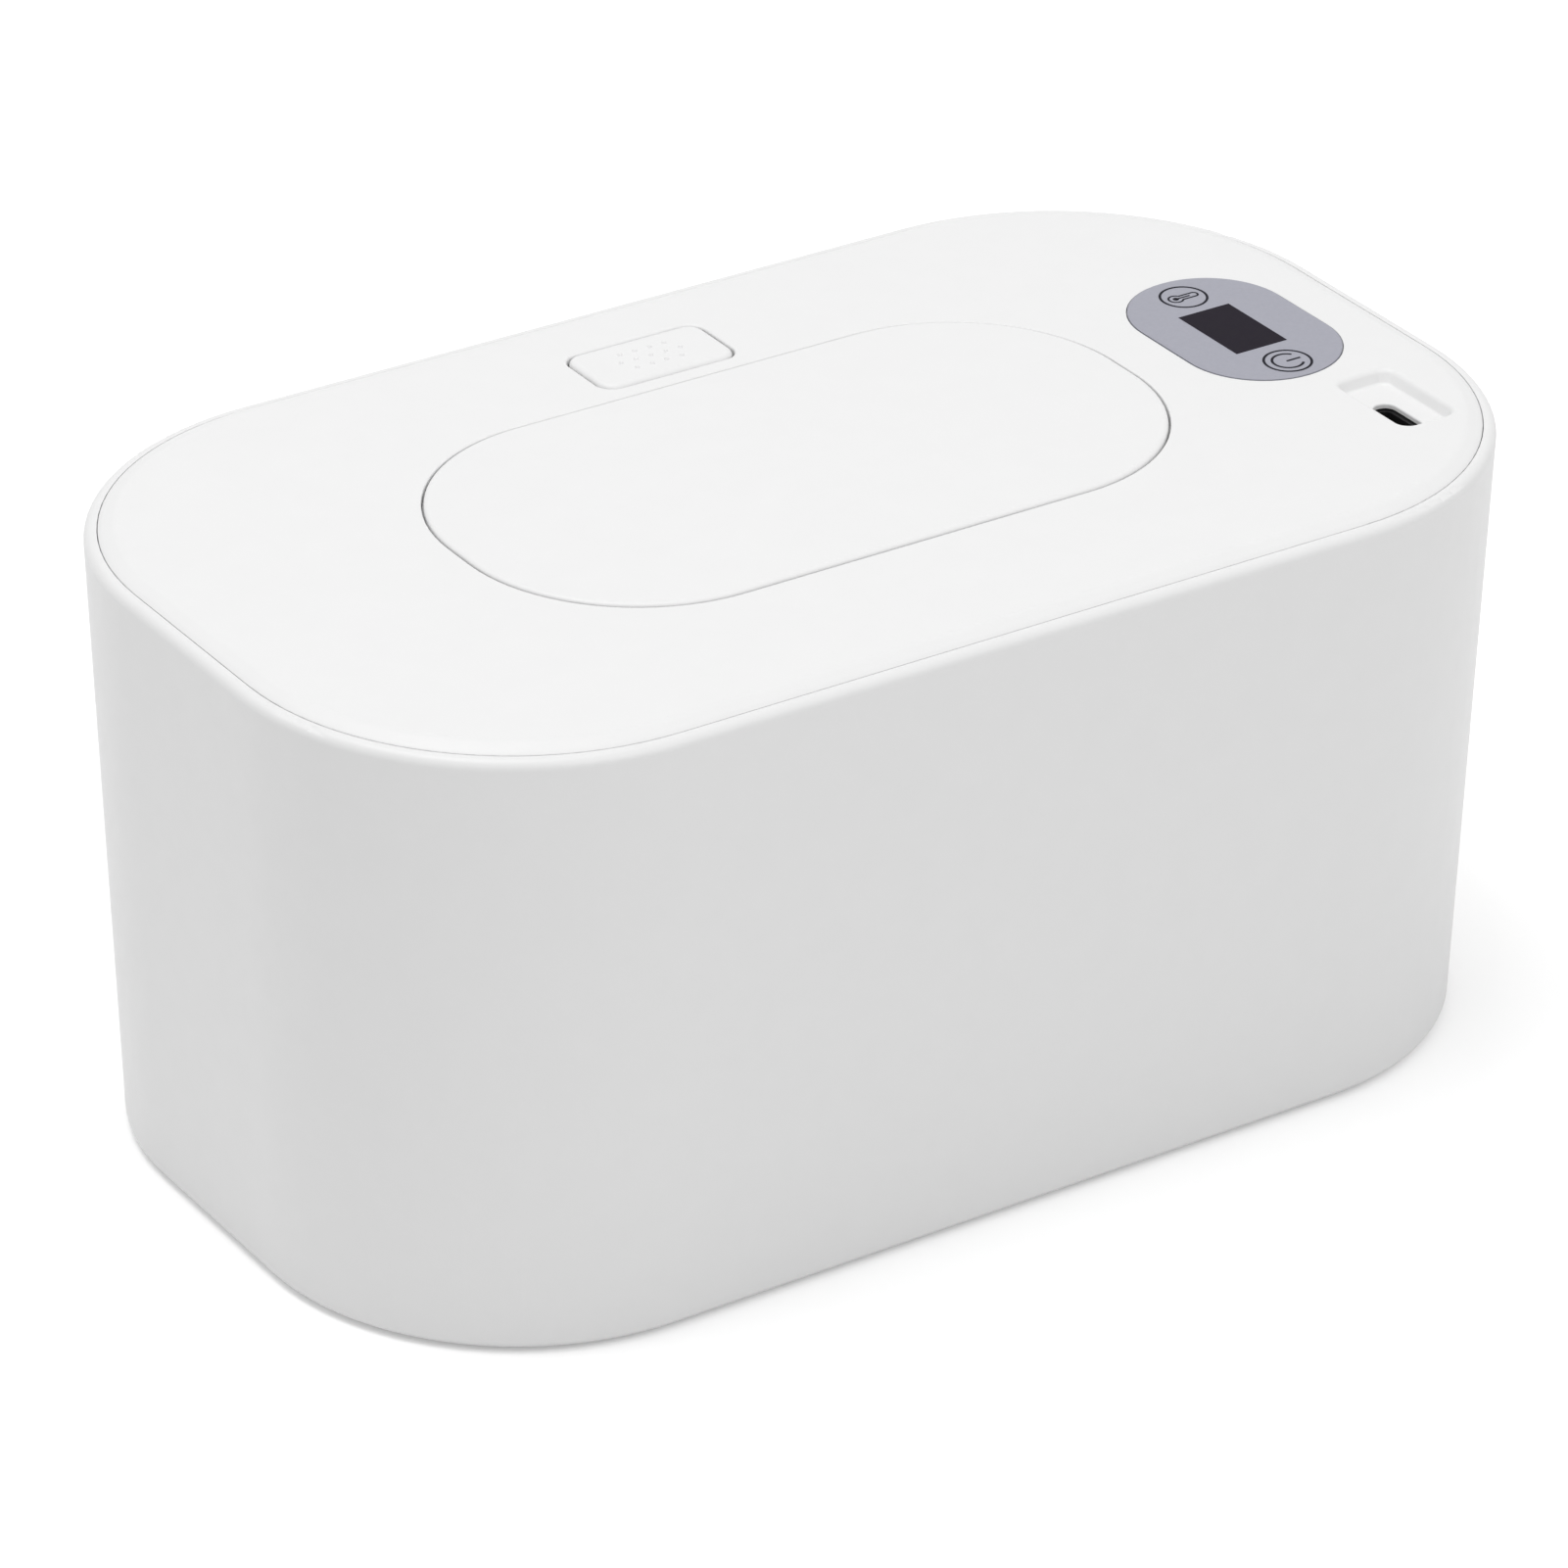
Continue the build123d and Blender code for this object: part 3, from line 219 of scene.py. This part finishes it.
def smoked_window(name, color):
    """The smooth dark window over the display."""
    material, tree, shader, place = new_material(name)
    paint(tree, shader, spread(tree, noise(tree, place, size=3.0), 0.0, 1.0), color, scaled(color, 1.15))
    polish(tree, shader, noise(tree, place, size=1.5), 0.3, 0.36)
    bump(tree, shader, noise(tree, place, size=0.2), depth=0.002)
    shader.inputs["Specular IOR Level"].default_value = WINDOW_SPECULAR
    return material


def soft_rubber(name, color):
    """Rubber or silicone: matte, with a fine pebbled skin."""
    material, tree, shader, place = new_material(name)
    dust = spread(tree, noise(tree, place, size=1.5, detail=4.0), 0.0, 1.0)
    paint(tree, shader, dust, scaled(color, 0.93), scaled(color, 1.06))
    polish(tree, shader, noise(tree, place, size=0.8), 0.62, 0.74)
    bump(tree, shader, noise(tree, place, size=0.4, detail=3.0), depth=0.03)
    return material


def sheet_metal(name, color, roughness, stretch):
    """Metal with fine marks, drawn out along one direction or the same all ways."""
    material, tree, shader, place = new_material(name)
    run = tree.nodes.new("ShaderNodeMapping")
    run.inputs["Scale"].default_value = stretch
    tree.links.new(place, run.inputs["Vector"])
    lines = noise(tree, run.outputs["Vector"], size=0.25, detail=4.0)
    paint(tree, shader, spread(tree, lines, 0.0, 1.0), scaled(color, 0.94), scaled(color, 1.04))
    polish(tree, shader, lines, roughness - 0.06, roughness + 0.06)
    bump(tree, shader, lines, depth=0.006)
    shader.inputs["Metallic"].default_value = 1.0
    return material


def cell_foam(name, color):
    """Closed-cell foam."""
    material, tree, shader, place = new_material(name)
    cells = tree.nodes.new("ShaderNodeTexVoronoi")
    cells.inputs["Scale"].default_value = 1.0 / FOAM_CELL
    tree.links.new(place, cells.inputs["Vector"])
    paint(tree, shader, cells.outputs["Distance"], scaled(color, 0.9), color)
    polish(tree, shader, noise(tree, place, size=2.0), 0.8, 0.9)
    bump(tree, shader, cells.outputs["Distance"], depth=0.1)
    return material


def circuit_board(name, color):
    """Solder-masked board with faint copper under the mask."""
    material, tree, shader, place = new_material(name)
    tracks = tree.nodes.new("ShaderNodeTexBrick")
    tracks.inputs["Scale"].default_value = 1.0 / TRACK_UNIT
    tracks.inputs["Color1"].default_value = (*scaled(color, 1.25), 1.0)
    tracks.inputs["Color2"].default_value = (*scaled(color, 1.1), 1.0)
    tracks.inputs["Mortar"].default_value = (*color, 1.0)
    tree.links.new(place, tracks.inputs["Vector"])
    tree.links.new(tracks.outputs["Color"], shader.inputs["Base Color"])
    polish(tree, shader, noise(tree, place, size=2.0), 0.28, 0.36)
    bump(tree, shader, tracks.outputs["Fac"], depth=0.02)
    return material


WHITE = (0.84, 0.84, 0.84)
WARM_WHITE = (0.80, 0.80, 0.79)
ROLLED_ALONG_X = (0.02, 1.0, 1.0)
EVEN_ALL_WAYS = (1.0, 1.0, 1.0)
MATERIALS = {
    "housing": moulded_plastic("housing_plastic", scaled(WHITE, 0.985), 0.42),
    "lid": moulded_plastic("lid_plastic", WHITE, 0.45),
    "inner_plastic": moulded_plastic("inner_plastic", WARM_WHITE, 0.4, grain=0.6),
    "panel": printed_panel("panel_print", (0.344, 0.347, 0.404)),
    "black_plastic": moulded_plastic("black_plastic", (0.009, 0.0085, 0.009), 0.45, mottle=0.1),
    "foam": cell_foam("foam", (0.72, 0.71, 0.68)),
    "rubber": soft_rubber("foot_rubber", (0.20, 0.20, 0.21)),
    "seal": soft_rubber("seal_silicone", (0.74, 0.74, 0.74)),
    "aluminium": sheet_metal("rolled_aluminium", (0.78, 0.79, 0.80), 0.34, ROLLED_ALONG_X),
    "film": printed_panel("heater_film_amber", (0.48, 0.24, 0.05)),
    "board": circuit_board("board_mask", (0.02, 0.13, 0.06)),
    "lead_wire": soft_rubber("lead_insulation", (0.62, 0.62, 0.62)),
    "screw_steel": sheet_metal("screw_zinc", (0.60, 0.60, 0.62), 0.32, EVEN_ALL_WAYS),
    "spring_steel": sheet_metal("spring_wire", (0.62, 0.62, 0.64), 0.25, EVEN_ALL_WAYS),
}
PRINT = printed_panel("icon_print", (0.004, 0.004, 0.010), specular=0.07)
WINDOW = smoked_window("display_window_tint", (0.0046, 0.0015, 0.0083))

# ---------- Where the skins differ from the solids ----------
SAME_PLACE = 0.005 * MM      # two places nearer than this are one
UPRIGHT = 0.1                # a face whose normal has no more of Z than this is a plain wall
RIM_TOP = 98.6 * MM          # top of the tub's rim
LID_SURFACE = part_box("lid_shell")[1].z
LID_CORNER_R = 43.4 * MM
LID_ROLL = 2.95 * MM         # width of the lid's edge that rolls down to the rim
LID_FIT = 0.17 * MM          # how much closer the lid's edge comes to the rim
DOOR_CORNER_R = 28.05 * MM
DOOR_ROLL = 0.65 * MM
DOOR_FIT = 0.2 * MM
BUTTON_CORNER_R = 2.6 * MM
BUTTON_ROLL = 0.95 * MM
BUTTON_FIT = 0.12 * MM
SLOT_SHADE_HEIGHT = 0.3 * MM     # how far above the socket the lid's slot wall is painted black, as painted shade
TUB_CORNER_R = 45.654 * MM
ROUND_FOOT = 96.9 * MM       # just below the round on the tub's rim


def edge_inset(point, low, high, corner_r):
    """How far a point lies inside a box's rounded outline, corner_r at most, and the way out from it."""
    place = point - (low + high) / 2
    over_x = abs(place.x) - (high.x - low.x) / 2 + corner_r
    over_y = abs(place.y) - (high.y - low.y) / 2 + corner_r
    way = Vector((max(over_x, 0.0), max(over_y, 0.0)))
    reach = way.length
    if not reach:
        return corner_r, way
    way = Vector((way.x if place.x > 0 else -way.x, way.y if place.y > 0 else -way.y))
    return corner_r - reach, way / reach


def fit_edge(node, corner_r, run, fit, foot=0.0, drop=0.0):
    """Brings an edge closer to what is round it, and rolls its top down by a drop over this run."""
    low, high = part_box(node)
    for vert in SKINS[node].data.vertices:
        inset, way = edge_inset(vert.co, low, high, corner_r)
        if inset < run and vert.co.z > foot:
            share = 1.0 - max(inset, 0.0) / run
            vert.co.z = min(vert.co.z, high.z - drop * share ** 2)
            vert.co.x += way.x * fit * share
            vert.co.y += way.y * fit * share


def cut_level(form, faces, height, near=0.0):
    """Cuts these faces at a height, through points that are this near it, and returns what it leaves."""
    pieces = faces + list(dict.fromkeys(edge for face in faces for edge in face.edges))
    pieces += list(dict.fromkeys(vert for face in faces for vert in face.verts))
    return bmesh.ops.bisect_plane(form, geom=pieces, plane_co=(0.0, 0.0, height),
                                  plane_no=(0.0, 0.0, 1.0), dist=near)["geom"]


def even_round(node, corner_r, foot):
    """Puts the round along a box's top edge onto the profile that it has where its straight side ends.

    The CAD mesh leaves large flat triangles across the round at its corners, so they are first cut
    at the profile's own heights.
    """
    low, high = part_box(node)
    form = bmesh.new()
    form.from_mesh(SKINS[node].data)
    side_end = low.x + corner_r
    profile = {round(vert.co.z, 6): vert.co.y - low.y for vert in form.verts
               if abs(vert.co.x - side_end) < SAME_PLACE and vert.co.z > foot
               and vert.co.y - low.y < high.z - foot}
    heights = sorted(profile)

    def on_round(vert):
        inset = edge_inset(vert.co, low, high, corner_r)[0]
        return vert.co.z > heights[0] - SAME_PLACE and inset < profile[heights[-1]] + SAME_PLACE

    for height in heights[1:-1]:
        faces = [face for face in form.faces if all(on_round(vert) for vert in face.verts)]
        cut_level(form, faces, height, near=SAME_PLACE)
    for vert in form.verts:
        if on_round(vert) and vert.co.z < heights[-1] - SAME_PLACE:
            height = min(heights, key=lambda known: abs(known - vert.co.z))
            inset, way = edge_inset(vert.co, low, high, corner_r)
            vert.co.x += way.x * (inset - profile[height])
            vert.co.y += way.y * (inset - profile[height])
    form.to_mesh(SKINS[node].data)
    form.free()


def paint_slot_shade(lid):
    """Paints the lid's white slot wall black up to just below its rounded rim: painted shade deep in the
    slot.
    """
    low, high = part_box("power_socket")
    shade_top = high.z + SLOT_SHADE_HEIGHT

    def in_slot(face):
        middle = face.calc_center_median()
        return (abs(face.normal.z) < UPRIGHT and low.x < middle.x < high.x
                and low.y < middle.y < high.y and high.z < middle.z < PANEL_TOP)

    form = bmesh.new()
    form.from_mesh(lid.data)
    # painted shade: below this height the slot's own white wall takes the black plastic
    for piece in cut_level(form, [face for face in form.faces if in_slot(face)], shade_top):
        if isinstance(piece, bmesh.types.BMFace) and piece.calc_center_median().z < shade_top:
            piece.material_index = 1
    form.to_mesh(lid.data)
    form.free()
    lid.data.materials.append(MATERIALS["black_plastic"])


def compress_spring():
    """Gives the latch spring's skin a mesh of its own."""
    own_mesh(SKINS["latch_spring"])


SKINS = {row["node"]: smooth_skin(row["node"], MATERIALS[row["material_slot"]])
         for row in frame["record"]["subparts"]}
fit_edge("lid_shell", LID_CORNER_R, LID_ROLL, LID_FIT, foot=RIM_TOP - LID_FIT, drop=LID_SURFACE - RIM_TOP)
fit_edge("door_shell", DOOR_CORNER_R, DOOR_ROLL, DOOR_FIT)
fit_edge("push_button", BUTTON_CORNER_R, BUTTON_ROLL, BUTTON_FIT)
paint_slot_shade(SKINS["lid_shell"])
even_round("outer_housing", TUB_CORNER_R, ROUND_FOOT)
compress_spring()

# ---------- Printing on the control panel ----------
PRINT_PROUD = 0.02 * MM      # thickness of the ink above the film
PRINT_SUNK = 0.05 * MM       # how far it reaches into the film
LINE = 0.42 * MM             # width of the icons' lines
THIN_LINE = 0.33 * MM
RING_R = 3.66 * MM           # ring round each icon
PANEL_X = (PANEL_LOW.x + PANEL_HIGH.x) / 2
PANEL_Y = (PANEL_LOW.y + PANEL_HIGH.y) / 2
WINDOW_LENGTH = 15.2 * MM
WINDOW_WIDTH = 9.5 * MM
WINDOW_X = PANEL_X - 0.35 * MM
POWER_AT = Vector((PANEL_X + 0.1 * MM, PANEL_Y - 13.6 * MM))
POWER_ARC_R = 2.4 * MM
POWER_GAP = 40               # degrees from +X to each end of the power icon's arc
POWER_BAR = (-0.2 * MM, 2.35 * MM)   # where its bar starts and ends, from the icon's middle
THERMOMETER_AT = Vector((PANEL_X - 0.1 * MM, PANEL_Y + 13.2 * MM))
BULB_SHIFT = -1.45 * MM      # from the icon's middle
BULB_R = 1.15 * MM
BULB_GAP = 35                # degrees from +X to each side of the stem
STEM_R = 0.66 * MM
STEM_LENGTH = 3.35 * MM
MERCURY_R = 0.5 * MM
MERCURY_LENGTH = 2.6 * MM


def arc(centre, radius, start, end, steps=40):
    """Points on an arc, angles in degrees from +X."""
    return [centre + radius * Vector((cos(radians(start + (end - start) * i / steps)),
                                      sin(radians(start + (end - start) * i / steps))))
            for i in range(steps + 1)]


def add_prism(form, loop):
    """A thin closed prism over a loop of points, standing a little proud of the panel."""
    low = [form.verts.new((p.x, p.y, PANEL_TOP - PRINT_SUNK)) for p in loop]
    high = [form.verts.new((p.x, p.y, PANEL_TOP + PRINT_PROUD)) for p in loop]
    form.faces.new(high)
    form.faces.new(low[::-1])
    for i, near in enumerate(low):
        j = (i + 1) % len(low)
        form.faces.new((near, low[j], high[j], high[i]))


def add_stroke(form, points, width, closed=False):
    """A printed line of this width along points."""
    count = len(points)
    sides = []
    for i, point in enumerate(points):
        before = points[i - 1] if i or closed else point
        after = points[(i + 1) % count] if i < count - 1 or closed else point
        along = (after - before).normalized()
        across = Vector((-along.y, along.x)) * width / 2
        sides.append((point + across, point - across))
    for i in range(count if closed else count - 1):
        j = (i + 1) % count
        add_prism(form, [sides[i][0], sides[i][1], sides[j][1], sides[j][0]])


def printed(name, draw, material):
    """A printed mark on the panel, drawn into a new mesh."""
    mesh = bpy.data.meshes.new(name)
    form = bmesh.new()
    draw(form)
    bmesh.ops.remove_doubles(form, verts=form.verts, dist=WELD)
    bmesh.ops.recalc_face_normals(form, faces=form.faces)
    form.to_mesh(mesh)
    form.free()
    piece = bpy.data.objects.new(name, mesh)
    bpy.context.scene.collection.objects.link(piece)
    return finish_piece(piece, body_of_node("control_panel"), material)


def draw_window(form):
    """The dark rectangle over the display."""
    across, along = WINDOW_WIDTH / 2, WINDOW_LENGTH / 2
    centre = Vector((WINDOW_X, PANEL_Y))
    add_prism(form, [centre + Vector(corner) for corner in
                     ((-across, -along), (across, -along), (across, along), (-across, along))])


def draw_power(form):
    """A ring round an open arc and a bar that points to the +X end."""
    add_stroke(form, arc(POWER_AT, RING_R, 0, 360)[:-1], LINE, closed=True)
    add_stroke(form, arc(POWER_AT, POWER_ARC_R, POWER_GAP, 360 - POWER_GAP), LINE)
    add_stroke(form, [POWER_AT + Vector((reach, 0)) for reach in POWER_BAR], LINE)


def draw_thermometer(form):
    """A ring round a thermometer along X: bulb towards -X, stem towards +X, mercury in both."""
    add_stroke(form, arc(THERMOMETER_AT, RING_R, 0, 360)[:-1], LINE, closed=True)
    bulb = THERMOMETER_AT + Vector((BULB_SHIFT, 0))
    outline = arc(bulb, BULB_R, BULB_GAP, 360 - BULB_GAP, steps=24)
    outline += arc(bulb + Vector((STEM_LENGTH, 0)), STEM_R, -90, 90, steps=14)
    add_stroke(form, outline, THIN_LINE, closed=True)
    add_prism(form, arc(bulb, MERCURY_R, 0, 360, steps=20)[:-1])
    add_stroke(form, [bulb, bulb + Vector((MERCURY_LENGTH, 0))], THIN_LINE)


printed("display_window", draw_window, WINDOW)
printed("power_icon", draw_power, PRINT)
printed("thermometer_icon", draw_thermometer, PRINT)

# ---------- Floor, light and camera ----------
FLOOR_HALF = 4.0
SEEN_WHITE = (1.0, 1.0, 1.0)
FLOOR_TONE = (0.85, 0.85, 0.85)      # what lights the object from below
FLOOR_GLOW = 0.21            # what is seen of the floor beyond its lit colour, near the object
FAR_GLOW = 0.45              # and further out, where the lamps fade
NEAR_RADIUS, FAR_RADIUS = 0.25, 1.0
STUDIO_LEVEL = 0.60
LAMP_AIM = Vector((0.0, 0.0, 0.05))
LAMPS = (                    # name, place, side and watts of each softbox
    ("top_softbox", (-0.26, 0.22, 1.45), 0.8, 7.65),
    ("front_softbox", (0.15, -0.95, 1.1), 0.7, 3.1),
)


def seen_rays(tree):
    """1 where the camera looks, straight, by a reflection or through glass, and 0 for other light."""
    rays = tree.nodes.new("ShaderNodeLightPath")
    seen = rays.outputs["Is Camera Ray"]
    for kind in ("Is Glossy Ray", "Is Transmission Ray"):
        either = tree.nodes.new("ShaderNodeMath")
        either.operation = "MAXIMUM"
        tree.links.new(seen, either.inputs[0])
        tree.links.new(rays.outputs[kind], either.inputs[1])
        seen = either.outputs["Value"]
    return seen


def make_floor():
    """A plain pale floor that is seen as white wherever no shadow falls."""
    material, tree, shader, place = new_material("floor_paint")
    seen = seen_rays(tree)
    paint(tree, shader, seen, FLOOR_TONE, SEEN_WHITE)
    shader.inputs["Emission Color"].default_value = (*SEEN_WHITE, 1.0)
    reach = tree.nodes.new("ShaderNodeVectorMath")
    reach.operation = "LENGTH"
    tree.links.new(place, reach.inputs[0])
    glow = tree.nodes.new("ShaderNodeMath")
    glow.operation = "MULTIPLY"
    tree.links.new(seen, glow.inputs[0])
    tree.links.new(spread(tree, reach.outputs["Value"], FLOOR_GLOW, FAR_GLOW, NEAR_RADIUS, FAR_RADIUS),
                   glow.inputs[1])
    tree.links.new(glow.outputs["Value"], shader.inputs["Emission Strength"])
    shader.inputs["Roughness"].default_value = 1.0
    shader.inputs["Specular IOR Level"].default_value = 0.0
    mesh = bpy.data.meshes.new("floor")
    mesh.from_pydata([(-FLOOR_HALF, -FLOOR_HALF, 0), (FLOOR_HALF, -FLOOR_HALF, 0),
                      (FLOOR_HALF, FLOOR_HALF, 0), (-FLOOR_HALF, FLOOR_HALF, 0)], [], [(0, 1, 2, 3)])
    mesh.materials.append(material)
    floor = bpy.data.objects.new("floor", mesh)
    bpy.context.scene.collection.objects.link(floor)


def make_world(level):
    """An even pale surround, seen as white."""
    world = bpy.data.worlds.new("studio")
    bpy.context.scene.world = world
    world.use_nodes = True
    tree = world.node_tree
    back = tree.nodes["Background"]
    strength = tree.nodes.new("ShaderNodeMapRange")
    strength.inputs["To Min"].default_value = level
    strength.inputs["To Max"].default_value = 1.0
    tree.links.new(seen_rays(tree), strength.inputs["Value"])
    tree.links.new(strength.outputs["Result"], back.inputs["Strength"])
    back.inputs["Color"].default_value = (*SEEN_WHITE, 1.0)


def make_softbox(name, place, size, power):
    """A square studio softbox at a place, turned to the object."""
    light = bpy.data.lights.new(name, "AREA")
    light.shape = "SQUARE"
    light.size = size
    light.energy = power
    lamp = bpy.data.objects.new(name, light)
    bpy.context.scene.collection.objects.link(lamp)
    lamp.location = place
    lamp.rotation_euler = (LAMP_AIM - Vector(place)).to_track_quat("-Z", "Y").to_euler()


CAMERA_AZIMUTH = radians(-33.32)
CAMERA_ELEVATION = radians(28.87)
CAMERA_ROLL = radians(0.43)
CAMERA_DISTANCE = 1.1778
CAMERA_LENS = 179.24         # in millimetres, as is the sensor's side
CAMERA_SENSOR = 36.0
CAMERA_REACH = 20.0
CAMERA_AIM = Vector((0.0, 0.0, 49.57 * MM))
CAMERA_SIDE = -2.04 * MM
CAMERA_RISE = -4.08 * MM


def make_camera():
    """A long-lens view onto the tub's near long side and its -X end."""
    back = Vector((sin(CAMERA_AZIMUTH) * cos(CAMERA_ELEVATION),
                   -cos(CAMERA_AZIMUTH) * cos(CAMERA_ELEVATION), sin(CAMERA_ELEVATION)))
    level = (-back).cross(Vector((0, 0, 1))).normalized()
    rise = level.cross(-back)
    right = level * cos(CAMERA_ROLL) + rise * sin(CAMERA_ROLL)
    up = rise * cos(CAMERA_ROLL) - level * sin(CAMERA_ROLL)
    place = CAMERA_AIM + back * CAMERA_DISTANCE + right * CAMERA_SIDE + up * CAMERA_RISE
    turn = Matrix((right, up, back)).transposed().to_4x4()
    lens = bpy.data.cameras.new("photo_view")
    lens.lens = CAMERA_LENS
    lens.sensor_width = CAMERA_SENSOR
    lens.clip_end = CAMERA_REACH
    camera = bpy.data.objects.new("photo_view", lens)
    bpy.context.scene.collection.objects.link(camera)
    camera.matrix_world = Matrix.Translation(place) @ turn
    bpy.context.scene.camera = camera


make_floor()
make_world(STUDIO_LEVEL)
for lamp in LAMPS:
    make_softbox(*lamp)
make_camera()
bpy.context.scene.view_settings.view_transform = "Standard"
